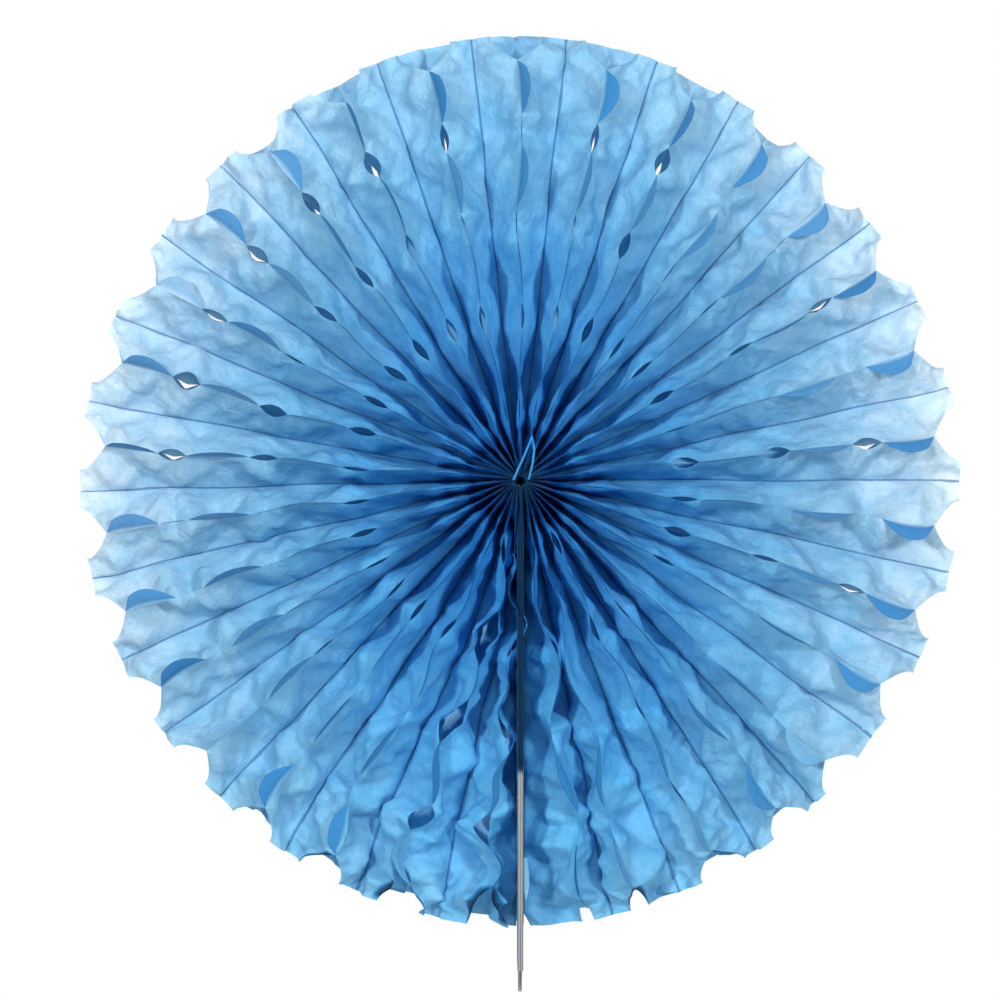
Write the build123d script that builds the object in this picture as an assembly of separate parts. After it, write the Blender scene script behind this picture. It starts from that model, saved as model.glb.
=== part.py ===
"""Paper fan rosette: a pack of die-cut tissue sheets, glued along lines and opened into a full disc.

The disc stands upright, as it hangs. The front looks along -Y, +Z is up, and the two guard strips close the
circle at the bottom. The origin is the middle of the disc on the plane of its back, where it meets a wall.
The sheets are glued in pairs along a front ridge, a back ridge and, to the next pair, a line halfway between
them, the valley. Each pair so opens into a long four-sided cell that runs from the hub to the rim.
"""
from build123d import *
import os
from math import asin, cos, degrees, hypot, pi, radians, sin, sqrt

# Disc, in millimetres and degrees
rim_radius = 200.0          # centre to the outer edge of the petals
hub_radius = 2.5            # centre to the inner ends of the sheets
cell_count = 31             # pairs of sheets, each with one front ridge
seam_angle = 270.0          # where the guard strips meet, counter-clockwise from +X seen from the front
crowding = 4.3              # how far the cells bunch up towards the seam
back_rim_swing = 6.5        # how far the back edge stands out at top and bottom, and in at both sides

# Tissue sheets
sheet_half_width = 27.0     # ridge glue line to valley glue line, measured in the sheet
glue_band = 2.0             # width of a glued valley line
sheet_wall = 0.4            # stands for one layer of tissue
bunched_radius = 20.0       # inside this radius the sheets lie pressed together

# Die-cut front edge: a wave whose troughs open as holes and whose crests stand up as fins
hole_pitch = 41.5           # from one hole to the next along a ridge
first_hole = 43.0           # rim to the middle of the outermost hole
hole_half_length = 8.8
hole_depth = 4.2            # how far a trough cuts past the glue line, measured in the sheet
fin_height = 6.0            # how far a crest stands past the glue line
fin_lean = 62.0             # fins are laid over clockwise, away from straight forward
notch_depth = 12.4          # rim notch at the ridge
notch_half_width = 11.3
notch_bulge = 1.6           # how far each side of the notch bows out of a straight line

# Guard strips and the tape that holds them face to face
core_ply = 0.7
cover_ply = 0.5             # outer ply of a strip, it stops where the tapered tab end begins
board_margin = 2.0          # how far a strip stands past the ridge glue lines, front and back
tape_thickness = 0.2
tape_inset = 3.0            # tape edge to strip edge
tab_length = 18.5           # rim to the start of the tapered tab end
tab_taper = 13.5            # length of the tapered tab end
tab_tip_width = 26.0

# Worked out from the sizes above
mid_plane = -(sheet_half_width + board_margin)
strip_face = tape_thickness / 2 + core_ply + cover_ply
stack_half = strip_face + sheet_wall
hub_gap = degrees(asin(stack_half / hub_radius))
rim_gap = degrees(asin(stack_half / rim_radius))
hole_count = 1 + int((rim_radius - first_hole - bunched_radius) / hole_pitch)
hole_places = [rim_radius - first_hole - hole_pitch * i for i in range(hole_count)]
bend_places = hole_places[::2]      # the ridges are straight between these, the hub and the rim
strip_start = hub_radius * cos(radians(hub_gap))
cut_reach = 2 * sheet_half_width    # cutters run well clear of the front ridges
overrun = 1.0                       # the hollow of a cell runs this far out of its open end


def polar(radius, angle):
    """A point of the disc's middle plane."""
    return Vector(radius * cos(radians(angle)), mid_plane, radius * sin(radians(angle)))


def glue_line(share):
    """Hub end and direction of the sheet line at this share of the way round from the seam."""
    hub_angle = seam_angle + hub_gap + share * (360 - 2 * hub_gap)
    rim_angle = seam_angle + rim_gap + share * (360 - 2 * rim_gap) - crowding * sin(2 * pi * share)
    hub_end = polar(hub_radius, hub_angle)
    return hub_end, (polar(rim_radius, rim_angle) - hub_end).normalized(), rim_angle


def on_line(share, radius, depth=0.0):
    """The point of a sheet line at this distance from the centre, moved back by depth."""
    hub_end, along, _ = glue_line(share)
    return hub_end + along * (radius - hub_radius) + Vector(0, depth, 0)


def half_span(cell, radius):
    """Half the distance between the two valleys of a cell."""
    left = on_line(cell / cell_count, radius)
    right = on_line((cell + 1) / cell_count, radius)
    return (right - left).length / 2


def ridge_height(cell, radius):
    """Height of a ridge over the middle plane: the sheets keep their width as the cell opens."""
    return sqrt(sheet_half_width**2 - half_span(cell, radius) ** 2)


def front_ridge(cell, radius):
    """Point of the front ridge as it is built, straight from one bend to the next."""
    places = [hub_radius, *bend_places, rim_radius]
    inner = max(place for place in places if place <= radius)
    outer = min(place for place in places if place > radius)
    share = (radius - inner) / (outer - inner)
    height = (1 - share) * ridge_height(cell, inner) + share * ridge_height(cell, outer)
    return on_line((cell + 0.5) / cell_count, radius, -height)


def back_rim(cell):
    """Where the back ridge of a cell ends. The sheets lie askew, so it goes in and out round the disc."""
    angle = glue_line((cell + 0.5) / cell_count)[2]
    return rim_radius + back_rim_swing * cos(2 * radians(angle - seam_angle))


def section(cell, radius, back_radius, inset):
    """Corners of a cell's cross-section: two ridges, and both edges of the glue band in each valley."""
    ridge = (cell + 0.5) / cell_count
    height = ridge_height(cell, radius)
    slope = (height - glue_band / 2) / half_span(cell, radius)
    slant = hypot(1, slope)
    tip = height - inset * slant
    band = glue_band / 2 - inset * (slant - slope)
    corners = [on_line(ridge, radius, -tip), on_line(ridge, back_radius, tip)]
    for valley in (cell / cell_count, (cell + 1) / cell_count):
        foot = on_line(valley, radius)
        inward = (on_line(ridge, radius) - foot).normalized() * inset
        corners += [foot + inward - Vector(0, band, 0), foot + inward + Vector(0, band, 0)]
    return corners


def cell_body(cell, inner_radius, inset, extra):
    """The closed outer form of a cell, or with an inset the hollow inside it."""
    points = section(cell, inner_radius, inner_radius, inset)
    for radius in bend_places:
        points += section(cell, radius, radius, inset)
    points += section(cell, rim_radius + extra, back_rim(cell) + extra, inset)
    return ConvexPolyhedron(points)


def cut_plane(cell, radius):
    """Sketch plane on the middle plane, X outwards along the ridge, facing the front."""
    share = (cell + 0.5) / cell_count
    return Plane(origin=on_line(share, radius), x_dir=glue_line(share)[1], z_dir=(0, -1, 0))


def hole_cutter(cell, radius):
    """Pointed hole where two troughs face each other. It goes through the front layer only."""
    reach = hole_depth * half_span(cell, radius) / sheet_half_width
    corners = [(-hole_half_length, 0), (0, -reach), (hole_half_length, 0), (0, reach)]
    outline = cut_plane(cell, radius) * Polygon(*corners, align=None)
    return extrude(outline, amount=cut_reach)


def notch_cutter(cell):
    """Rounded notch at the rim, through the front layer only."""
    apex = (-notch_depth, 0)
    left = (0, notch_half_width)
    right = (0, -notch_half_width)
    past_rim = 2 * overrun
    sides = SagittaArc(apex, left, notch_bulge) + SagittaArc(right, apex, notch_bulge)
    mouth = Polyline(left, (past_rim, notch_half_width), (past_rim, -notch_half_width), right)
    return extrude(cut_plane(cell, rim_radius) * make_face(sides + mouth), amount=cut_reach)


def fin(cell, inner, outer):
    """Crest of the front edge between two cut-outs, both layers glued, laid over into its own valley."""
    middle = (inner + outer) / 2
    foot = front_ridge(cell, middle)
    ridge = (front_ridge(cell, outer) - front_ridge(cell, inner)).normalized()
    clockwise = Vector(0, 1, 0).cross(glue_line((cell + 0.5) / cell_count)[1])
    room = half_span(cell, middle) - 2 * sheet_wall
    sideways = min(fin_height * sin(radians(fin_lean)), room) / fin_height
    lay = Vector(0, -sqrt(1 - sideways**2), 0) + clockwise * sideways
    base = Plane(origin=foot, x_dir=ridge, z_dir=ridge.cross(lay))
    half = (outer - inner) / 2
    root = 2 * sheet_wall
    corners = [(-half, -root), (-half / 2, fin_height), (half / 2, fin_height), (half, -root)]
    return extrude(base * Polygon(*corners, align=None), amount=sheet_wall, both=True)


def make_cell(cell):
    body = cell_body(cell, hub_radius, 0, 0) - cell_body(cell, bunched_radius, sheet_wall, overrun)
    cutters = [hole_cutter(cell, radius) for radius in hole_places] + [notch_cutter(cell)]
    body -= cutters
    outer_ends = [rim_radius - notch_depth] + [radius - hole_half_length for radius in hole_places[:-1]]
    inner_ends = [radius + hole_half_length for radius in hole_places]
    fins = [fin(cell, inner, outer) for inner, outer in zip(inner_ends, outer_ends)]
    return body + fins


def strip_rectangle(outer, inset):
    """Side view of a straight strip: X outwards from the hub, Y backwards from the middle plane."""
    width = 2 * (sheet_half_width + board_margin - inset)
    length = outer - strip_start
    return Pos(strip_start + length / 2, 0) * Rectangle(length, width)


def core_outline():
    """The core ply of a guard strip, with its front corner cut away so that the tab narrows to its end."""
    edge = sheet_half_width + board_margin
    end = rim_radius + tab_length
    tip = end + tab_taper
    front = [(strip_start, -edge), (end, -edge), (tip, edge - tab_tip_width)]
    back = [(tip, edge), (strip_start, edge)]
    return Polygon(*front, *back, align=None)


def seam_plate(outline, near, thickness, side):
    """Flat piece along the seam, this near to the seam plane. Side is 1 for right and -1 for left."""
    seam = Plane(origin=(side * near, mid_plane, 0), x_dir=(0, 0, -1), z_dir=(side, 0, 0))
    if side < 0:
        outline = mirror(outline, about=Plane.XZ)
    return extrude(seam * outline, amount=thickness)


def make_tissue():
    """All sheets, with the end leaves that lie flat on the guard strips."""
    cells = [make_cell(cell) for cell in range(cell_count)]
    leaf = strip_rectangle(rim_radius, board_margin)
    leaves = [seam_plate(leaf, strip_face, sheet_wall, side) for side in (1, -1)]
    return cells[0] + cells[1:] + leaves


def make_board(side):
    core = seam_plate(core_outline(), tape_thickness / 2, core_ply, side)
    cover = seam_plate(strip_rectangle(rim_radius + tab_length, 0), strip_face - cover_ply, cover_ply, side)
    return core + cover


def make_tape():
    return seam_plate(strip_rectangle(rim_radius, tape_inset), -tape_thickness / 2, tape_thickness, 1)


def main():
    pieces = {
        "tissue_fan": make_tissue(),
        "guard_strip_right": make_board(1),
        "guard_strip_left": make_board(-1),
        "adhesive_tape": make_tape(),
    }
    os.makedirs("parts", exist_ok=True)
    for name, shape in pieces.items():
        shape.label = name
        export_step(shape, f"parts/{name}.step")


main()
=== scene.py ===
"""Dresses the paper fan rosette: thin die-cut tissue sheets, greyboard strips, tape, lights and camera.

Lengths are millimetres in the row frame and become metres where a mesh is made. The front looks along -Y.
Angles are degrees, counter-clockwise from +X seen from the front. Lines of the sheets have places, counted
from the seam: ridges are at whole places, from 0, and valleys halfway between them.
"""
from math import cos, pi, radians, sin, tau

import bmesh
import bpy
import numpy as np
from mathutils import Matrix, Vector


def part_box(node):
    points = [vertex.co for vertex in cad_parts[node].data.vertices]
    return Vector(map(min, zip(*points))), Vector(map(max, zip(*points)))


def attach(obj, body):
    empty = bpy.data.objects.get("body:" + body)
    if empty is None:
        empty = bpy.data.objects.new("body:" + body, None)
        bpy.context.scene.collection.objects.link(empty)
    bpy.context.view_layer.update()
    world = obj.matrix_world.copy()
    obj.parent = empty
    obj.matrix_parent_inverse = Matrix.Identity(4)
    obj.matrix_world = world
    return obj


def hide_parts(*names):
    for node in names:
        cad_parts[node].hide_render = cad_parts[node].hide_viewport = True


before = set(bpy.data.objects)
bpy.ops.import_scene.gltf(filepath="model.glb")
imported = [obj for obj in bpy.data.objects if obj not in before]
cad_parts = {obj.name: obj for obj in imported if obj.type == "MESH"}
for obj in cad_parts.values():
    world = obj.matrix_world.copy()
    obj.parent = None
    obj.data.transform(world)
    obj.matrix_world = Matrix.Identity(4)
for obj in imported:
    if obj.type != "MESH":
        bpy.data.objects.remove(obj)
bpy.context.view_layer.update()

MM = 0.001

# The fan's own sizes, as in the CAD
strip_low, strip_high = (np.array(corner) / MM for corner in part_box("guard_strip_right"))
RIM = 200.0
HUB = 2.5
CELLS = 31
SHEET_HALF = 27.0
SHEET_WALL = 0.4
CROWDING = 4.3
SEAM = 270.0
MIDDLE = (strip_low[1] + strip_high[1]) / 2     # depth of the valleys
STRIP_FACE = strip_high[0]                      # seam plane to the outside of a strip

# Die-cut front edge: how far it stands past the ridge glue line, as a wave along the sheet
PITCH = 41.5
FIRST_HOLE = 157.0
HOLE_CUT = 6.0                  # how far a trough cuts into the sheet
CREST_REACH = 8.5               # how far a crest stands past the glue line
TROUGH_SHARPNESS = 1.14         # 1 is a sharp V, 2 a smooth wave
NOTCH_START = RIM - 12.4
NOTCH_CUT = 15.1                # how far the rim notch cuts into the sheet, measured in the sheet
NOTCH_ZONE = NOTCH_START - 6    # from here outwards the edge belongs to the notch

# Where the back edge ends, by the angle from the seam. The sheets lie askew, so the back is smaller at
# the sides.
BACK_ANGLES = [0, 14, 26, 38, 50, 90, 135, 150, 165, 180]
BACK_RADII = [199.3, 194.6, 194.6, 194.7, 191.0, 189.0, 190.0, 199.0, 201.8, 201.8]

# Painted light at the rim, by the angle from the seam: the dye is painted palest at both sides and deepest
# beside the seam.
PAINTED_LIGHT_ANGLES = [0, 22, 45, 67, 90, 135, 160, 180]
PAINTED_LIGHT_LEVELS = [0.40, 0.49, 0.68, 0.87, 1.0, 0.92, 0.74, 0.67]

# Lines of the photographed fan that lie off the even spacing, in degrees
LOPSIDED = 2.1                  # a swell round one place, this many places wide
LOPSIDED_PLACE = 9.8
LOPSIDED_WIDTH = 2.4
NUDGES = {0: 2.9, 1: -1.4, 4: -1.95, 30: 1.6}

# Lines beside the seam that bow towards it: the share of the bow by their place, and the bow by the radius
BOW_PLACES = [26.5, 28, 29, 30, 30.5]
BOW_SHARES = [0, 0.5, 1, 0.45, 0]
BOW_RADII = [0, 20, 45, 70, 110, 160]
BOW = [0, 1.6, 6, 8.2, 3.7, 0]

# How much more some cells are crumpled than the others
CRUMPLED = {0: 1.6, 1: 1.0, 2: 1.2, 3: 0.5, 27: 0.4, 28: 1.2, 29: 2.2, 30: 2.2}

# The first valley stands off its strip by this much at the rim, over this length
STAND_OFF = 3.2
STAND_OFF_LENGTH = 5.5

# How far the holes of each cell gape, from the outermost one inwards. Full is 1.
GAPING = [
    (0.0, 0.0, 0.4), (0.0, 0.0, 0.1), (0.15, 0.2, 0.7), (0.0, 0.0, 0.3), (0.0, 0.0, 0.1),
    (0.0, 0.0, 0.5), (0.45, 0.35, 1.2), (0.0, 0.0, 0.6), (0.7, 0.9, 1.4), (0.0, 0.05, 0.25),
    (0.5, 0.35, 0.9), (0.1, 0.15, 0.6), (0.0, 0.1, 0.55), (0.9, 0.8, 1.0), (0.45, 0.3, 0.75),
    (0.05, 0.1, 0.5), (0.5, 0.25, 0.8), (0.9, 0.65, 1.0), (0.75, 0.6, 1.0), (0.75, 0.6, 1.0),
    (0.5, 0.2, 0.85), (1.1, 0.95, 1.0), (0.75, 0.5, 0.5), (0.05, 0.05, 0.5), (0.0, 0.0, 0.8),
    (0.0, 0.1, 0.4), (0.0, 0.2, 0.5), (0.0, 0.0, 0.6), (0.0, 0.0, 0.6), (1.4, 0.2, 0.2),
    (0.3, 0.3, 0.3),
]
INNER_GAPING = {2: 1.9, 29: 1.3, 30: 4.0}
USUAL_INNER_GAPING = 0.3        # the innermost hole is pressed nearly shut
NOTCH_GAPING = {0: 0.25, 1: 0.45, 30: 0.8}

# Holes that have torn open along the ridge: middle, half width and half length in millimetres
TORN = {
    14: [(14, 1.9, 9.5)],
    29: [(71.5, 6.0, 13.5), (112, 5.2, 11.5), (200, 9.0, 23)],
    30: [(71, 2.2, 8.5), (114, 2.0, 9.0), (156, 3.8, 8.5), (200, 9.5, 20)],
}

# Rim notches whose edge gets a painted shadow for the shaded gap behind it, on these sides of the ridge. 1 is
# the counter-clockwise one.
SHADOWED_NOTCHES = {1: (1, -1), 2: (1,), 28: (-1,), 29: (1, -1), 30: (1, -1)}
NOTCH_SHADOW = [1.4, 2.0]          # painted shadow on the last two columns of the sheet there

# How wide the outermost fin of each cell looks from the front, in millimetres, and how deep its colour is:
# partly for its two sheets and partly as painted shade, paler for fins in light and deeper for fins in shade,
# near black past 1
FIN_WIDTHS = [
    0.5, 1.5, 2.0, 4.5, 6.0, 7.5, 5.5, 5.5, 4.5, 8.4, 4.0, 7.4, 6.3, 2.7, 6.3, 3.5,
    3.5, 1.0, 8.4, 6.5, 8.4, 4.0, 1.5, 5.9, 6.3, 4.7, 5.0, 6.9, 8.0, 3.0, 0.5,
]
FIN_DEPTHS_AND_SHADE = {1: 0.3, 2: 0.25, 4: 0.3, 8: 1.0, 10: 1.05, 20: 0.4, 25: 1.15, 26: 0.3, 29: 0.2}
FIN_CURL = 26.0                 # degrees from foot to tip

# Where light comes through the back layer, which is also painted pale there as light from behind. In the
# upper cells the holes in the back lie straight behind the front ones. In the others the camera sees the back
# this much further out.
THIN_AND_LIT_CELLS = (8, 14, 15, 16, 17, 29, 30)
SEAM_CELLS = (29, 30)
UPPER_CELLS = (12, 13, 14, 15, 16, 17, 18)
SEEN_FURTHER_OUT = 9.0

# Grid of a sheet: columns from the valley outwards as shares, and rows along it
FRONT_COLUMNS = np.linspace(0, 1, 16)
BACK_COLUMNS = np.array([1.0, 0.95, 0.9, 0.85, 0.8, 0.65, 0.45, 0.22, 0.0])
FIN_COLUMNS = np.array([0, 0.33, 0.67, 1.0])
ROW_STEP = 1.2
ROW_ROOM = 0.45                 # a row nearer than this to the end of a hole gives way to one at the end
NOTCH_ROWS = 24
NOTCH_ROWS_START = NOTCH_START - 3
CELLS_EACH = 4                  # cells in one piece

# Numbers of the sheets outside the cells. A sheet's number moves the pattern of its dye.
END_LEAF = 70
CURL = 75
LOOP = 76

# Seeds of the random forms, to which the number of the cell, line or sheet is added
RIDGE_SEED = 40
LEAF_SEED = 60
FIN_SEED = 700
VALLEY_SEED = 900
DEPTH_SEED = 1200
BULGE_SEED = 2000
CRINKLE_SEED = 3000
FOLD_SEED = 4000
WRINKLE_SEED = 5000

# End leaves: near the hub their front edge wraps over the edge of the strip, between these radii
WRAP_START = 1.7
WRAP_END = 133.0
LEAF_HUB_ROWS = [0.0, 1.0, 1.6, 1.75]
LEAF_COLUMNS = 15
WRAP_STEPS = [2.0, 4.0, 5.0, 6.0, 6.6]      # millimetres past the flat part, measured in the sheet
WRAP_INWARDS = [0.25, 0.6, 0.9, 1.0]        # share of the way from the strip's face to the seam

# Colours of the tissue as seen on screen, from the painted shade at the hub to the painted light at the rim.
# The deep and the pale ones are mixed at random for the cloudy dye.
DEEP_DYE_AND_LIGHT = (
    (0.05, (40, 142, 214)), (0.3, (76, 168, 222)), (0.5, (100, 175, 217)),
    (0.68, (120, 181, 215)), (0.85, (144, 192, 221)), (1.0, (190, 216, 233)),
)
PALE_DYE_AND_LIGHT = (
    (0.05, (78, 182, 236)), (0.3, (124, 200, 236)), (0.5, (150, 204, 231)),
    (0.68, (176, 211, 232)), (0.85, (212, 229, 239)), (1.0, (240, 244, 246)),
)

# Soft square lamps: place and side in metres, and power in watts
LAMPS = {
    "left": ((-0.85, -1.65, 0.35), 0.16, 19.7),
    "right": ((0.85, -1.65, 0.35), 0.16, 19.7),
    "top": ((0.0, -1.25, 0.95), 0.3, 6.0),
    "behind": ((0.0, 1.3, 0.5), 1.2, 9.0),
}
WORLD_LIGHT = 0.22
FLOOR_HALF = 3.0
FLOOR_LEVEL = -0.75

# Camera: where the disc's middle is in the picture, and the picture's scale at the disc
PICTURE = 1000
CENTRE_PIXEL = (520, 482)
PIXEL = 200.0 / 440 * MM
CAMERA_DISTANCE = 1.6
SENSOR = 36.0


def nudge(place):
    """Degrees that a line lies off the even spacing. A valley takes half from the ridge at each side."""
    swell = LOPSIDED * np.exp(-(((place - LOPSIDED_PLACE) / LOPSIDED_WIDTH) ** 2) / 2)
    below = int(np.floor(place))
    above = int(np.ceil(place))
    return swell + (NUDGES.get(below, 0.0) + NUDGES.get(above, 0.0)) / 2


def line_ends(place):
    """Hub end and direction, in the disc's plane, of the sheet line at this place."""
    share = (place + 0.5) / CELLS
    hub_gap = np.degrees(np.arcsin((STRIP_FACE + SHEET_WALL) / HUB))
    rim_gap = np.degrees(np.arcsin((STRIP_FACE + SHEET_WALL) / RIM))
    hub_angle = np.radians(SEAM + hub_gap + share * (360 - 2 * hub_gap))
    rim_angle = SEAM + rim_gap + share * (360 - 2 * rim_gap) - CROWDING * sin(tau * share)
    if 0 < share < 1:
        rim_angle += nudge(place)
    rim_angle = np.radians(rim_angle)
    hub_end = HUB * np.array([np.cos(hub_angle), np.sin(hub_angle)])
    along = RIM * np.array([np.cos(rim_angle), np.sin(rim_angle)]) - hub_end
    return hub_end, along / np.linalg.norm(along)


def line(place, radius):
    """Points of a sheet line in the disc's plane at these radii."""
    hub_end, along = line_ends(place)
    bow = np.interp(place, BOW_PLACES, BOW_SHARES) * np.interp(radius, BOW_RADII, BOW)
    sideways = np.array([-along[1], along[0]])
    return hub_end + along * (radius[:, None] - HUB) + sideways * bow[:, None]


def clockwise(place):
    """Direction square to a sheet line."""
    along = line_ends(place)[1]
    return np.array([along[1], -along[0]])


def from_seam(x, z):
    """Degrees between a point's direction and the seam's."""
    return np.abs((np.degrees(np.arctan2(z, x)) - SEAM + 180) % 360 - 180)


def waves(seed, amount, length, count=4):
    """A smooth random curve: a few sines of about this wavelength."""
    rng = np.random.default_rng(seed)
    sizes = rng.uniform(0.4, 1.0, count)
    lengths = length * rng.uniform(0.6, 1.7, count)
    phases = rng.uniform(0, tau, count)
    scale = amount / np.linalg.norm(sizes) * 1.4

    def at(x):
        return scale * sum(a * np.sin(tau * x / b + c) for a, b, c in zip(sizes, lengths, phases))

    return at


def creases(seed, amount, length, across=1.0, count=9):
    """A smooth random field over a sheet. Across stretches its features over the sheet's width."""
    rng = np.random.default_rng(seed)
    turns = rng.uniform(0, tau, count)
    lengths = length * rng.uniform(0.6, 1.8, count)
    phases = rng.uniform(0, tau, count)

    def at(x, y):
        total = 0
        for turn, size, phase in zip(turns, lengths, phases):
            total = total + np.sin(tau * (x * cos(turn) + y * sin(turn) / across) / size + phase)
        return amount * total / np.sqrt(count)

    return at


def crumpled(seed, slope, length, count=6):
    """A field of flat facets that meet in straight creases, mostly across the sheet, each this steep."""
    rng = np.random.default_rng(seed)
    turns = rng.normal(0, 0.65, count)
    lengths = length * rng.uniform(0.6, 1.7, count)
    phases = rng.uniform(0, 1, count)

    def at(x, y):
        total = 0
        for turn, size, phase in zip(turns, lengths, phases):
            place = (x * cos(turn) + y * sin(turn)) / size + phase
            total = total + size / 2 * (2 * np.abs(place - np.round(place)) - 0.5)
        return slope * total

    return at


def sheet_fields(sheet, crumple):
    """Soft forms of a sheet: a broad bulge, fine crinkles, and flat facets of two sizes."""
    return (
        creases(BULGE_SEED + sheet, 0.5 * crumple, 38),
        creases(CRINKLE_SEED + sheet, 0.14 * crumple, 9, across=2.0),
        crumpled(FOLD_SEED + sheet, 0.18 * crumple, 24),
        crumpled(WRINKLE_SEED + sheet, 0.13 * crumple, 9),
    )


def edge_reach(radius):
    """How far the front edge of a sheet stands past the ridge glue line. Below zero it is cut away."""
    phase = (radius - FIRST_HOLE) / PITCH
    from_trough = np.abs(phase - np.round(phase)) * 2
    wave = -HOLE_CUT + (CREST_REACH + HOLE_CUT) * np.sin(pi / 2 * from_trough**TROUGH_SHARPNESS)
    notch = -NOTCH_CUT * np.sin(pi / 2 * (radius - NOTCH_START) / (RIM - NOTCH_START))
    return np.where(radius > NOTCH_ZONE, np.minimum(wave, notch), wave)


def row_radii():
    """Radii of the rows of a sheet, and those of them where the front edge crosses the glue line."""
    fine = np.linspace(HUB, RIM, 4000)
    reach = edge_reach(fine)
    crossings = fine[:-1][np.sign(reach[:-1]) != np.sign(reach[1:])]
    notch_rows = np.linspace(NOTCH_ROWS_START, RIM, NOTCH_ROWS)
    rows = np.concatenate([np.arange(HUB, NOTCH_ROWS_START, ROW_STEP), notch_rows])
    far = np.min(np.abs(rows[:, None] - crossings), axis=1) > ROW_ROOM
    far[[0, -1]] = True
    return np.sort(np.concatenate([rows[far], crossings])), crossings


def nearest_hole(radius):
    """Number of the nearest hole along a ridge, from 0 for the outermost. The rim notch is -1."""
    return np.round((FIRST_HOLE - radius) / PITCH).astype(int)


def hole_width(cell, radius, reach, half_span):
    """How far each sheet's edge draws back from the ridge where the wave is cut away."""
    in_notch = radius > NOTCH_ZONE
    rounded = HOLE_CUT * np.sin(pi / 2 * np.clip(-reach / HOLE_CUT, 0, 1))
    cut = np.where(in_notch, np.maximum(-reach, 0), rounded)
    straight = cut * half_span / SHEET_HALF
    gaping = np.array([*GAPING[cell], INNER_GAPING.get(cell, USUAL_INNER_GAPING)])
    share = gaping[np.clip(nearest_hole(radius), 0, 3)]
    share = np.where(in_notch, NOTCH_GAPING.get(cell, 1.0), share)
    width = straight * share
    for middle, half_width, half_length in TORN.get(cell, []):
        torn = half_width * (1 - np.abs(radius - middle) / half_length)
        width = np.maximum(width, np.minimum(torn, 0.9 * half_span))
    return width


def back_cut(cell, side, radius):
    """How far the back edge is cut away behind the outermost hole. It shows at the hole's lower side only.

    Below zero the edge stands past the ridge, as it does at the upper side.
    """
    through = (nearest_hole(radius) == 0) & (radius < NOTCH_ZONE)
    gaping = min(GAPING[cell][0], 1)
    if cell in UPPER_CELLS:
        return 0.5 * np.clip(-edge_reach(radius) - 2.6, 0, HOLE_CUT) * through * gaping
    lower_side = 1 if line_ends(cell)[1][0] < 0 else -1
    share = 1.15 if side == lower_side else -0.4
    reach = edge_reach(radius - SEEN_FURTHER_OUT)
    return share * np.clip(-reach - 1.2, 0, HOLE_CUT) * through * gaping * (cell not in SEAM_CELLS)


def translucent_and_painted_light(cell, radius, across):
    """How much light comes through the back layer behind a hole, where the sheet is open behind it too, and
    how pale it is painted there as light from behind.
    """
    hole = nearest_hole(radius)
    gapes = np.array([*GAPING[cell], 0.0])[np.clip(hole, 0, 3)] > 0.15
    along_it = np.abs(radius - FIRST_HOLE + hole * PITCH) / 6.5
    across_it = (SHEET_HALF + across) / (10.0 if cell in SEAM_CELLS else 5.5)
    inner = (hole > 0) | ((hole == 0) & (cell in SEAM_CELLS))
    return np.clip((1.15 - along_it - across_it) * 4, 0, 1) * inner * gapes * (cell in THIN_AND_LIT_CELLS)


def painted_notch_shadow(cell, side, radius, gap):
    """Painted shadow on the last columns of the front of a sheet along its rim notch, as a layer count above
    1.
    """
    if side not in SHADOWED_NOTCHES.get(cell, ()):
        return 0.0
    within = np.clip(np.minimum(radius - NOTCH_START + 8, RIM - radius) / 3, 0, 1) * (gap > 0.5)
    return within[:, None] * NOTCH_SHADOW


def ridge_shift(cell, radius):
    """Sideways waviness of a ridge."""
    crumple = CRUMPLED.get(cell, 0)
    near_hub = np.clip((radius - 12) / 50, 0, 1)
    return waves(RIDGE_SEED + cell, 0.5 + 0.9 * crumple, 62 - 8 * crumple)(radius) * near_hub


def valley_points(place, radius):
    """A valley line in the disc's plane and how far it lies back from the middle plane."""
    points = line(place, radius)
    if 0 < (place + 0.5) < CELLS:
        shift = waves(VALLEY_SEED + int(2 * place), 0.25, 70)(radius) * np.clip((radius - 12) / 60, 0, 1)
        points = points + clockwise(place) * shift[:, None]
    if place == -0.5:
        points[:, 0] += STAND_OFF * np.clip((radius - (RIM - STAND_OFF_LENGTH)) / STAND_OFF_LENGTH, 0, 1)
    depth = waves(DEPTH_SEED + int(2 * place), 0.5, 90)(radius) * np.clip(radius / RIM, 0, 1)
    return points, depth


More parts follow.
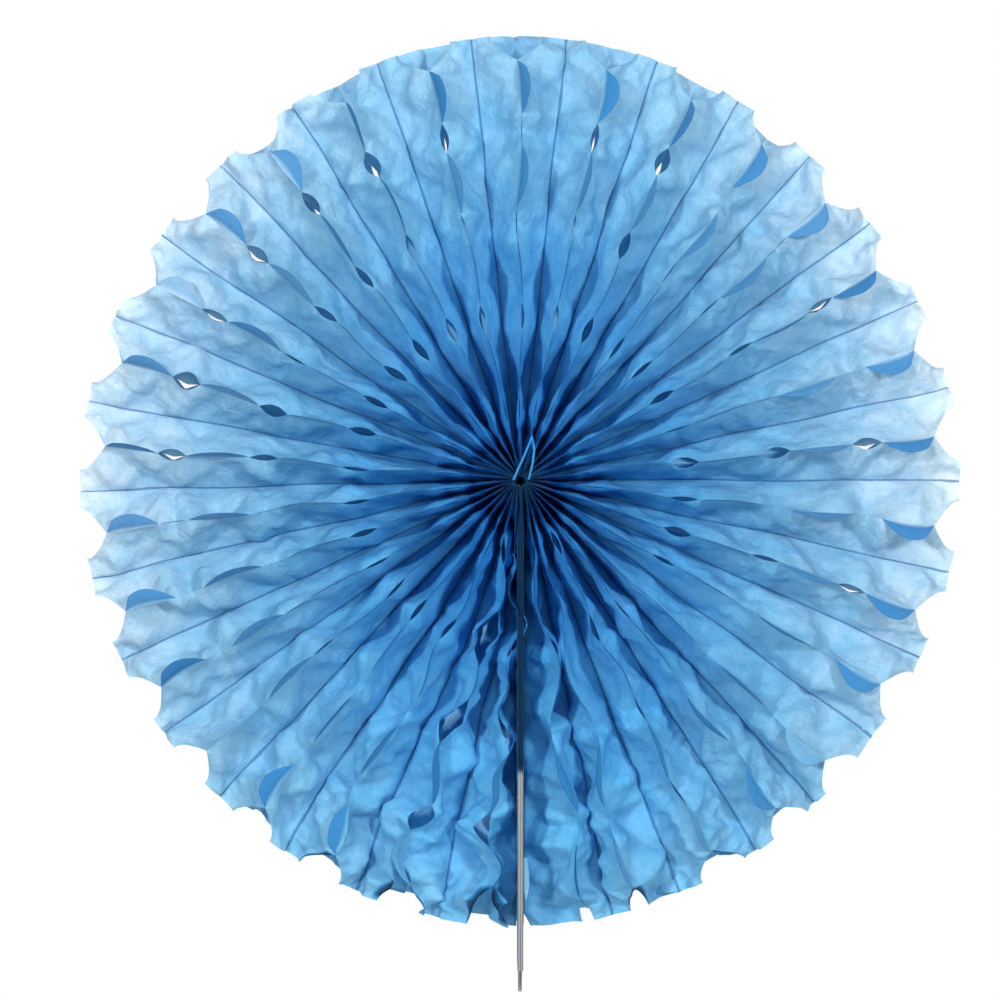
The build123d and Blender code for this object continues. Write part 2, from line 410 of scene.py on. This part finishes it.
def make_sheet(cell, side):
    """Grids of a sheet: its back and front from ridge to ridge, and its own layer of each fin.

    Side is 1 for the sheet on the counter-clockwise side of the ridge and -1 for the other one.
    Each grid holds x, y, z, along, across and a layer count that also carries painted light. Along is the
    distance from the centre, across the distance from the valley, below zero towards the back. The layer
    count is 0 for one sheet and 1 for two glued ones, whose colour is deeper partly for the double sheet and
    partly as painted shade. Above 1 the colour is painted near black as shade, and below 0 it is painted pale
    as light from behind, and more light comes through.
    """
    radius, crossings = row_radii()
    valley, valley_depth = valley_points(cell + 0.5 * side, radius)
    other = line(cell - 0.5 * side, radius)
    turn = clockwise(cell)
    half_span = np.linalg.norm(valley - other, axis=1) / 2
    ridge = line(cell, radius) + turn * ridge_shift(cell, radius)[:, None]
    height = np.sqrt(SHEET_HALF**2 - half_span**2)
    reach = edge_reach(radius)
    gap = hole_width(cell, radius, reach, half_span)
    fields = sheet_fields(2 * cell + (side > 0), 1 + 0.5 * CRUMPLED.get(cell, 0))
    rim_share = np.clip(radius / RIM, 0, 1)[:, None] ** 1.5

    span = ridge - valley
    width = np.linalg.norm(span, axis=1)
    sideways = span / width[:, None]
    length = SHEET_HALF + np.minimum(reach, 0)
    lift = np.sqrt(np.maximum(length**2 - (half_span - gap) ** 2, (0.3 * length) ** 2))

    def panel(columns, run, rise, forward):
        """Grid from the valley towards a ridge, this far sideways and this far forward or back."""
        t = columns[None, :]
        slant = np.hypot(run, rise)[:, None]
        across = slant * t
        window = np.sin(pi * np.clip(t, 0, 1)) ** 0.6
        loose = 0
        for field in fields:
            loose = loose + field(radius[:, None], forward * across) * window
        loose = loose * (0.25 + 0.95 * rim_share)
        loose = loose - 0.9 * window * np.clip(reach[:, None] / 6, 0, 1) * (forward > 0)
        flat = run[:, None] * t - loose * rise[:, None] / slant
        deep = rise[:, None] * t + loose * run[:, None] / slant
        points = valley[:, None, :] + sideways[:, None, :] * flat[:, :, None]
        y = MIDDLE + valley_depth[:, None] * (1 - t) - forward * deep
        return points, y, forward * across

    cut = back_cut(cell, side, radius)
    back_run = width - cut * half_span / SHEET_HALF
    back, back_y, back_across = panel(BACK_COLUMNS, back_run, height - cut * 0.8, -1)
    back = back * back_stretch(cell, radius)
    front, front_y, front_across = panel(FRONT_COLUMNS, width - gap, lift, 1)
    back_lit_through = -translucent_and_painted_light(cell, radius[:, None], back_across)
    front_notch_shadow = np.zeros(front_across.shape)
    front_notch_shadow[:, -2:] += painted_notch_shadow(cell, side, radius, gap)

    along = radius[:, None]
    grids = []
    panels = ((back, back_y, back_across, back_lit_through), (front, front_y, front_across, front_notch_shadow))
    for points, y, across, layers_and_painted_light in panels:
        from_ridge = 1 - np.clip(across / SHEET_HALF, 0, 1)
        points = points * inner_end(radius)[:, None, None] ** from_ridge[:, :, None]
        points = points * out_of_round(points)
        grids.append((points[:, :, 0], y, points[:, :, 1], along, across, layers_and_painted_light))
    ends = np.sort(np.concatenate([crossings, [HUB]]))
    for start, end in zip(ends[:-1], ends[1:]):
        middle = (start + end) / 2
        inside = (radius >= start - 1e-6) & (radius <= end + 1e-6)
        if edge_reach(np.array([middle]))[0] > 0 and inside.sum() > 2:
            lean, depth = fin_habit(cell, middle)
            foot = front[inside, -1]
            foot_y = front_y[inside, -1]
            grids.append(make_fin(radius[inside], foot, foot_y, reach[inside], turn, lean, depth, side))
    return grids


def fin_habit(cell, middle):
    """How far a fin is laid over, in degrees, and how deep its colour is, partly for its two sheets and
    partly as painted shade. Only the outer ones lie flat.
    """
    ring = int(round((FIRST_HOLE + PITCH / 2 - middle) / PITCH))
    rng = np.random.default_rng(FIN_SEED + 10 * cell + ring)
    if ring == 0:
        lean = np.degrees(np.arcsin(min(FIN_WIDTHS[cell] / CREST_REACH, 0.995)))
        return lean, FIN_DEPTHS_AND_SHADE.get(cell, rng.uniform(0.85, 1.0))
    if ring == 1:
        return rng.uniform(2, 24), rng.uniform(0.6, 0.85)
    return rng.uniform(-2, max(1, 14 - 5 * ring)), 0.25


def make_fin(radius, foot, foot_y, reach, turn, own_lean, depth, side):
    """Crest of the wave between two crossings: this sheet's layer of the fin."""
    u = FIN_COLUMNS[None, :]
    stand = np.maximum(reach, 0)[:, None] * u
    tips = np.clip(reach / 3, 0, 1)[:, None]
    lean = np.radians(own_lean + FIN_CURL * (u - 0.5) * min(1, own_lean / 40))
    off = 0 if side > 0 else 0.45 * u * tips
    over = stand * np.sin(lean) + off * np.cos(lean)
    up = stand * np.cos(lean) - off * np.sin(lean)
    points = foot[:, None, :] + turn * over[:, :, None]
    points = points * out_of_round(points)
    y = foot_y[:, None] - up
    # The fin's colour deepens from its foot by its given depth, partly painted shade
    layers_and_painted_light = depth * np.clip(u * 3, 0, 1)
    return points[:, :, 0], y, points[:, :, 1], radius[:, None], SHEET_HALF + stand, layers_and_painted_light


def back_stretch(cell, radius):
    """How much the back layer of a cell is longer or shorter than the front, as a factor for each point."""
    end = np.interp(from_seam(*line_ends(cell)[1]), BACK_ANGLES, BACK_RADII)
    bow = np.sin(pi / 2 * BACK_COLUMNS) ** 0.8
    outer = np.clip((radius - 20) / (RIM - 20), 0, 1) ** 2
    return 1 + (end / RIM - 1) * outer[:, None, None] * bow[None, :, None]


def out_of_round(points):
    """The photographed disc bulges a little at top and bottom and is drawn in beside the seam."""
    angle = np.arctan2(points[:, :, 1], points[:, :, 0]) - radians(SEAM)
    far = np.hypot(points[:, :, 0], points[:, :, 1]) / RIM
    stretch = -0.002 + 0.0065 * np.cos(2 * angle) + 0.008 * np.cos(4 * angle)
    return (1 + stretch * np.clip(far, 0, 1) ** 2)[:, :, None]


def inner_end(radius):
    """The inner ends of the sheets draw together towards the axis behind the front edge."""
    return 0.02 + 0.98 * np.clip((radius - HUB) / 3.0, 0, 1)


def painted_light_level(x, z, along, across):
    """Painted light of the dye: paler towards the rim and the sides, a painted highlight on the hub's tips,
    and painted shade at the back.
    """
    painted_light = along / RIM * np.interp(from_seam(x, z), PAINTED_LIGHT_ANGLES, PAINTED_LIGHT_LEVELS)
    painted_light = painted_light * np.where(across < 0, np.interp(along, [60, 205], [0.62, 1.0]), 1.0)
    return painted_light + 0.4 * np.clip((16 - along) / 10, 0, 1) * np.clip((across - 21) / 5, 0, 1)


def mesh_object(name, grids, material):
    """One object from grids of points. Each point keeps its place on its sheet as attributes."""
    columns = [[] for _ in range(7)]
    faces = []
    start = 0
    for leaf, grid in grids:
        shape = grid[0].shape
        for store, values in zip(columns, (*grid, leaf)):
            store.append(np.broadcast_to(values, shape).ravel())
        index = start + np.arange(shape[0] * shape[1]).reshape(shape)
        quads = np.stack([index[:-1, :-1], index[1:, :-1], index[1:, 1:], index[:-1, 1:]], axis=-1)
        faces.append(quads.reshape(-1, 4))
        start += index.size
    x, y, z, along, across, layers_and_painted_light, leaf = (np.concatenate(store) for store in columns)
    mesh = bpy.data.meshes.new(name)
    mesh.from_pydata((np.stack([x, y, z], axis=1) * MM).tolist(), [], np.concatenate(faces).tolist())
    # Painted light and shade for the tissue's colour, kept on each point
    painted_light = painted_light_level(x, z, along, across)
    kept = (("along", along), ("across", across), ("layers_and_painted_light", layers_and_painted_light), ("leaf", leaf), ("painted_light", painted_light))
    for key, values in kept:
        mesh.attributes.new(key, "FLOAT", "POINT").data.foreach_set("value", values.astype(np.float32))
    cleaned = bmesh.new()
    cleaned.from_mesh(mesh)
    bmesh.ops.dissolve_degenerate(cleaned, edges=cleaned.edges, dist=1e-6)
    cleaned.to_mesh(mesh)
    cleaned.free()
    mesh.polygons.foreach_set("use_smooth", [True] * len(mesh.polygons))
    mesh.materials.append(material)
    piece = bpy.data.objects.new(name, mesh)
    bpy.context.scene.collection.objects.link(piece)
    return piece


def make_node(tree, kind, inputs=None, **settings):
    """A shader node with its settings, and its inputs set or linked by name or number."""
    node = tree.nodes.new(kind)
    for key, value in settings.items():
        setattr(node, key, value)
    for key, value in (inputs or {}).items():
        if isinstance(value, bpy.types.NodeSocket):
            tree.links.new(value, node.inputs[key])
        else:
            node.inputs[key].default_value = value
    return node


def math(tree, operation, a, b=0.0, c=0.0):
    return make_node(tree, "ShaderNodeMath", {0: a, 1: b, 2: c}, operation=operation).outputs[0]


def noise(tree, place, scale, detail, roughness=0.5):
    inputs = {"Vector": place, "Scale": scale, "Detail": detail, "Roughness": roughness}
    return make_node(tree, "ShaderNodeTexNoise", inputs).outputs[0]


def relief(tree, height, strength, distance):
    """Fine unevenness of a surface, with its depth in metres."""
    inputs = {"Strength": strength, "Distance": distance, "Height": height}
    return make_node(tree, "ShaderNodeBump", inputs).outputs[0]


def colour(red, green, blue):
    """A colour written as on screen, from 0 to 255, for a shader."""
    def linear(value):
        value /= 255
        return value / 12.92 if value <= 0.04045 else ((value + 0.055) / 1.055) ** 2.4
    return (linear(red), linear(green), linear(blue), 1.0)


def mixed(tree, share, first, second):
    inputs = {0: share, 6: first, 7: second}
    return make_node(tree, "ShaderNodeMix", inputs, data_type="RGBA").outputs[2]


def ramp(tree, value, stops):
    node = make_node(tree, "ShaderNodeValToRGB", {0: value})
    node.color_ramp.interpolation = "EASE"
    elements = node.color_ramp.elements
    while len(elements) < len(stops):
        elements.new(0.5)
    for element, (place, shade) in zip(elements, stops):
        element.position = place
        element.color = colour(*shade)
    return node.outputs[0]


def new_material(name):
    material = bpy.data.materials.new(name)
    material.use_nodes = True
    tree = material.node_tree
    tree.nodes.clear()
    return material, tree


def paper_with_painted_light(tree, painted_light, across, layers_and_painted_light, cloud, mottle):
    """Cloudy dye, a line at the valley that is partly glue and partly painted shade, and how the colour
    changes with the layer count: deeper for two sheets, partly as painted shade, painted shade above that,
    and painted light below none.
    """
    deep = ramp(tree, painted_light, DEEP_DYE_AND_LIGHT)
    pale = ramp(tree, painted_light, PALE_DYE_AND_LIGHT)
    share = math(tree, "MULTIPLY_ADD", cloud, 0.35, math(tree, "MULTIPLY", mottle, 0.3))
    paper = mixed(tree, share, deep, pale)
    # The line at the valley is partly glue and partly painted shade in the fold, painted wider where the
    # painted light is low
    line_half = math(tree, "MULTIPLY_ADD", painted_light, -0.6, 1.15)
    band = math(tree, "DIVIDE", math(tree, "ABSOLUTE", across), line_half)
    glue = math(tree, "SUBTRACT", 1.0, math(tree, "MINIMUM", band, 1.0))
    glue = math(tree, "MINIMUM", math(tree, "MULTIPLY", glue, 1.8), 1.0)
    glued = mixed(tree, math(tree, "MULTIPLY", glue, 0.68), paper, colour(40, 100, 152))
    # Two sheets together: a deeper colour, partly for the double sheet and partly as painted shade
    doubled_and_shaded = mixed(tree, 0.88, deep, colour(42, 124, 186))
    dye_with_painted_light = mixed(tree, layers_and_painted_light, glued, doubled_and_shaded)
    # Painted shade: past one the colour goes to near black navy
    dark = math(tree, "SUBTRACT", layers_and_painted_light, 1.0)
    return mixed(tree, dark, dye_with_painted_light, colour(4, 20, 38))


def tissue_material():
    """Blue tissue: cloudy dye with painted light and shade, fine fibres, letting a little light through."""
    material, tree = new_material("blue_tissue")
    along, across, layers_and_painted_light, leaf, painted_light = (
        make_node(tree, "ShaderNodeAttribute", attribute_name=name).outputs["Fac"]
        for name in ("along", "across", "layers_and_painted_light", "leaf", "painted_light"))

    def pattern(along_size, across_size, detail, roughness):
        """Noise over the sheet, stretched to run from 0 to 1."""
        place = make_node(tree, "ShaderNodeCombineXYZ", {
            0: math(tree, "DIVIDE", along, along_size),
            1: math(tree, "DIVIDE", across, across_size),
            2: math(tree, "MULTIPLY", leaf, 3.7),
        }).outputs[0]
        raw = noise(tree, place, 1.0, detail, roughness)
        return make_node(tree, "ShaderNodeMapRange", {0: raw, 1: 0.3, 2: 0.7}).outputs[0]

    cloud = pattern(17.0, 13.0, 1.0, 0.5)
    mottle = pattern(3.6, 3.0, 2.0, 0.68)
    fibre = pattern(0.9, 0.7, 1.0, 0.7)

    dye_with_painted_light = paper_with_painted_light(tree, painted_light, across, layers_and_painted_light, cloud, mottle)
    # Painted light: where light comes through the back layer, its colour is painted paler, and more light
    # passes through
    thin = math(tree, "MAXIMUM", math(tree, "MULTIPLY", layers_and_painted_light, -1.0), 0.0)
    dye_with_painted_light = mixed(tree, thin, dye_with_painted_light, colour(125, 185, 232))
    brightness = math(tree, "MULTIPLY_ADD", fibre, 0.12, 0.94)
    tinted = make_node(tree, "ShaderNodeHueSaturation", {"Color": dye_with_painted_light, "Value": brightness}).outputs[0]

    bump = relief(tree, mottle, 0.6, 0.45 * MM)
    sheet = make_node(tree, "ShaderNodeBsdfPrincipled", {
        "Base Color": tinted, "Roughness": 0.78, "Specular IOR Level": 0.12, "Normal": bump})
    through = make_node(tree, "ShaderNodeBsdfTranslucent", {"Color": tinted, "Normal": bump})
    front = math(tree, "GREATER_THAN", across, 0.0)
    passing = math(tree, "MULTIPLY_ADD", thin, 0.5, math(tree, "MULTIPLY_ADD", front, 0.14, 0.1))
    both = make_node(tree, "ShaderNodeMixShader", {0: passing, 1: sheet.outputs[0], 2: through.outputs[0]})
    make_node(tree, "ShaderNodeOutputMaterial", {0: both.outputs[0]})
    return material


def board_material():
    """Greyboard: grey core, darker towards both faces along the cut edges, paler flat faces, short fibres."""
    material, tree = new_material("greyboard")
    coordinates = make_node(tree, "ShaderNodeTexCoord").outputs
    place = coordinates["Object"]
    x = make_node(tree, "ShaderNodeSeparateXYZ", {0: place}).outputs[0]
    outer = math(tree, "GREATER_THAN", math(tree, "ABSOLUTE", x), 0.8 * MM)
    x_facing = make_node(tree, "ShaderNodeSeparateXYZ", {0: coordinates["Normal"]}).outputs[0]
    flat_face = math(tree, "GREATER_THAN", math(tree, "ABSOLUTE", x_facing), 0.7)
    fibre = noise(tree, place, 900.0, 4.0)
    cloud = noise(tree, place, 90.0, 3.0)
    core = mixed(tree, fibre, colour(120, 124, 128), colour(152, 156, 158))
    darker_band = mixed(tree, fibre, colour(82, 86, 90), colour(112, 116, 118))
    face = mixed(tree, fibre, colour(138, 137, 134), colour(166, 165, 161))
    shade = mixed(tree, outer, core, darker_band)
    shade = mixed(tree, flat_face, shade, face)
    shade = mixed(tree, math(tree, "MULTIPLY", cloud, 0.25), shade, colour(116, 117, 116))
    bump = relief(tree, fibre, 0.4, 0.2 * MM)
    board = make_node(tree, "ShaderNodeBsdfPrincipled", {
        "Base Color": shade, "Roughness": 0.9, "Normal": bump})
    make_node(tree, "ShaderNodeOutputMaterial", {0: board.outputs[0]})
    return material


def tape_material():
    """Double-sided tape: yellowish, a little uneven and shiny."""
    material, tree = new_material("tape")
    place = make_node(tree, "ShaderNodeTexCoord").outputs["Object"]
    cloud = noise(tree, place, 260.0, 3.0)
    shade = mixed(tree, cloud, colour(205, 200, 180), colour(232, 229, 214))
    roughness = math(tree, "MULTIPLY_ADD", cloud, 0.2, 0.35)
    tape = make_node(tree, "ShaderNodeBsdfPrincipled", {"Base Color": shade, "Roughness": roughness})
    make_node(tree, "ShaderNodeOutputMaterial", {0: tape.outputs[0]})
    return material


def add_tissue(material):
    """All the sheets, a few cells to a piece.

    Laid flat, a sheet is as wide as back, front and crest together, and as long as from hub to rim.
    """
    for number, first in enumerate(range(0, CELLS, CELLS_EACH), 1):
        cells = range(first, min(first + CELLS_EACH, CELLS))
        grids = []
        for cell in cells:
            for side in (1, -1):
                grids += [(2 * cell + (side > 0), grid) for grid in make_sheet(cell, side)]
        piece = mesh_object(f"tissue_sheets_{number}", grids, material)
        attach(piece, "root")
        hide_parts("tissue_fan")


def torn_curl():
    """A torn corner of the right end leaf that curls out in front, near the rim."""
    t = np.linspace(0, 1, 14)[:, None]
    u = np.array([0, 0.3, 0.65, 1.0])[None, :]
    width = 0.2 + 1.3 * np.sin(pi * t**1.4) ** 0.7 + 0.3 * t
    x = 1.45 + (1.4 - 1.0 * t) * np.minimum(3 * u, 1) + width * u
    y = MIDDLE - SHEET_HALF - 0.5 - (3.2 * u - 1.4 * u**2) * (0.6 + 0.4 * t)
    z = -168.0 - 19.0 * t + 4.0 * (1 - u) * t**4
    # Along runs past the rim here, so the curl's colour is painted paler, as in light; across starts at 0 at
    # its foot, which gives the foot the valley's line of glue and painted shade.
    return x, y, z, -1.7 * z, 24 * u, 0.0


def hub_loop():
    """A loose sliver of tissue that stands out as a pointed loop over the hub. Place 3 is its tip."""
    place = np.linspace(0, 6, 25)
    u = np.array([0, 0.5, 1.0])[None, :]
    outwards = np.clip((place - 3) / 0.5, -1, 1)[:, None]
    loop_x = np.interp(place, range(7), [-2.6, -0.6, 2.2, 5.2, 5.6, 4.8, 3.2])[:, None]
    loop_z = np.interp(place, range(7), [0.8, 5.5, 11.5, 19.0, 13.5, 7.5, 1.0])[:, None]
    x = loop_x + outwards * u
    z = loop_z + 1.8 * (1 - np.abs(outwards)) * u
    raised = np.clip(3.2 - np.abs(place - 3), 0, 1)[:, None]
    y = MIDDLE - SHEET_HALF - 5.6 - 4.2 * raised + 1.2 * u
    # Along and across are given values, not its place on a sheet; along sets how pale its colour is painted.
    return x, y, z, 36.0, 24.0, 0.0


def leaf_grid(side):
    """An end leaf: rows from hub to rim, columns from its back edge forward and over the edge of the strip.

    It closes on the seam in the hub's hole, and bulges a little where the first valley is glued to it.
    """
    radius = np.concatenate([LEAF_HUB_ROWS, np.arange(HUB, RIM + 0.1, ROW_STEP)])
    wraps = (np.clip((WRAP_END - radius) / 8, 0, 1) * (radius > WRAP_START))[:, None]
    flat_part = np.linspace(0, 2 * SHEET_HALF + 0.5, LEAF_COLUMNS)
    reach = np.concatenate([flat_part, np.full(len(WRAP_STEPS), flat_part[-1])])[None, :]
    steps = np.concatenate([np.zeros(LEAF_COLUMNS), WRAP_STEPS])[None, :] * wraps
    inwards = np.concatenate([np.zeros(LEAF_COLUMNS + 1), WRAP_INWARDS])[None, :] * wraps
    ripple = creases(LEAF_SEED + side, 0.16, 22)(radius[:, None], reach)
    y = MIDDLE + SHEET_HALF - reach - np.minimum(steps, 5.0 + 0.2 * (steps - 5.0))
    x = STRIP_FACE + 0.12 + np.abs(ripple) * (1 - inwards) - inwards * (STRIP_FACE + 0.1)
    x = x + 0.27 * np.exp(-(((reach - SHEET_HALF) / 3) ** 2))
    closing = np.clip((1.8 - radius) / 0.6, 0, 1)[:, None] * np.clip(1 - reach / 50, 0, 1)
    x = x * (1 - closing)
    # Painted shade: the part wrapped over the strip's edge is painted near black, for the shaded slit between
    # the two leaves. The flat leaf is a little deeper in colour.
    layers_and_painted_light = 0.3 + 1.6 * np.clip((steps - 1.0) / 2, 0, 1)
    return side * x, y, -radius[:, None], radius[:, None], reach + steps - SHEET_HALF, layers_and_painted_light


def add_end_leaf(name, side, loose_bit, material):
    """The sheet that is glued flat on a guard strip, with a loose bit of tissue."""
    grids = [(END_LEAF + side, leaf_grid(side)), loose_bit]
    piece = mesh_object(name, grids, material)
    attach(piece, "root")
    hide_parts("tissue_fan")


def finish_nodes(board, tape):
    """Gives the strips and the tape, whose solids stay, their materials."""
    materials = {"guard_strip_right": board, "guard_strip_left": board, "adhesive_tape": tape}
    for name, material in materials.items():
        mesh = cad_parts[name].data
        mesh.materials.clear()
        mesh.materials.append(material)


def add_floor():
    """A plain pale floor well below the hanging fan."""
    signs = [(-1, -1), (1, -1), (1, 1), (-1, 1)]
    corners = [(FLOOR_HALF * x, FLOOR_HALF * y, FLOOR_LEVEL) for x, y in signs]
    mesh = bpy.data.meshes.new("floor")
    mesh.from_pydata(corners, [], [(0, 1, 2, 3)])
    floor = bpy.data.objects.new("floor", mesh)
    material, tree = new_material("pale_floor")
    shader = make_node(tree, "ShaderNodeBsdfPrincipled", {
        "Base Color": colour(238, 238, 238), "Roughness": 0.9})
    make_node(tree, "ShaderNodeOutputMaterial", {0: shader.outputs[0]})
    mesh.materials.append(material)
    bpy.context.scene.collection.objects.link(floor)


def add_world():
    """A weak even light that looks white to the camera, and in reflections and through clear things."""
    world = bpy.data.worlds.new("studio")
    bpy.context.scene.world = world
    world.use_nodes = True
    tree = world.node_tree
    tree.nodes.clear()
    path = make_node(tree, "ShaderNodeLightPath").outputs
    seen = math(tree, "MAXIMUM", path["Is Camera Ray"], path["Is Glossy Ray"])
    seen = math(tree, "MAXIMUM", seen, path["Is Transmission Ray"])
    light = make_node(tree, "ShaderNodeBackground", {0: (1, 1, 1, 1), 1: WORLD_LIGHT})
    white = make_node(tree, "ShaderNodeBackground", {0: (1, 1, 1, 1), 1: 1.0})
    both = make_node(tree, "ShaderNodeMixShader", {0: seen, 1: light.outputs[0], 2: white.outputs[0]})
    make_node(tree, "ShaderNodeOutputWorld", {0: both.outputs[0]})


def add_lamp(name, place, size, power):
    """A square soft lamp aimed at the middle of the disc."""
    lamp = bpy.data.lights.new(name, "AREA")
    lamp.size = size
    lamp.energy = power
    holder = bpy.data.objects.new(name, lamp)
    holder.location = place
    holder.rotation_euler = (-Vector(place)).to_track_quat("-Z", "Y").to_euler()
    bpy.context.scene.collection.objects.link(holder)


def add_camera():
    """Straight at the front, set aside so that the disc's middle is where the photograph has it."""
    lens = bpy.data.cameras.new("camera")
    lens.sensor_width = SENSOR
    lens.lens = SENSOR * CAMERA_DISTANCE / (PICTURE * PIXEL)
    camera = bpy.data.objects.new("camera", lens)
    right = (PICTURE / 2 - CENTRE_PIXEL[0]) * PIXEL
    up = (CENTRE_PIXEL[1] - PICTURE / 2) * PIXEL
    camera.location = (right, MIDDLE * MM - CAMERA_DISTANCE, up)
    camera.rotation_euler = (pi / 2, 0, 0)
    bpy.context.scene.collection.objects.link(camera)
    bpy.context.scene.camera = camera


def main():
    bpy.context.scene.view_settings.view_transform = "Standard"
    add_camera()
    add_floor()
    add_world()
    for name, (place, size, power) in LAMPS.items():
        add_lamp(name, place, size, power)
    tissue = tissue_material()
    add_tissue(tissue)
    add_end_leaf("end_leaf_right", 1, (CURL, torn_curl()), tissue)
    add_end_leaf("end_leaf_left", -1, (LOOP, hub_loop()), tissue)
    finish_nodes(board_material(), tape_material())


main()
